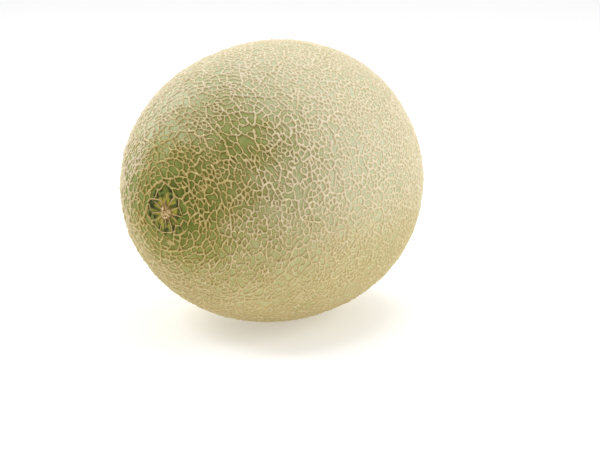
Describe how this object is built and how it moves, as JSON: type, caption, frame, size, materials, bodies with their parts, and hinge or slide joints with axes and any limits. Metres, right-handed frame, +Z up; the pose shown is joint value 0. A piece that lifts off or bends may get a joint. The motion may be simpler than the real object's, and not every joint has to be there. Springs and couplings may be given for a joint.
{
  "type": "cantaloupe melon",
  "caption": "Whole netted cantaloupe melon lying on its side on a small flat ground spot, a single closed egg-shaped fruit.",
  "frame": {"origin": "under the middle of the melon's box, at the level it rests on", "axes": "+X along the melon's long axis, from the blossom end to the stem end; +Z up, away from the ground spot"},
  "size_m": [0.164, 0.1482, 0.1448],
  "materials": {
    "rind": "dry green rind under a raised net of matt, pale tan cork"
  },
  "bodies": {
    "root": {"melon": "rind"}
  },
  "joints": []
}
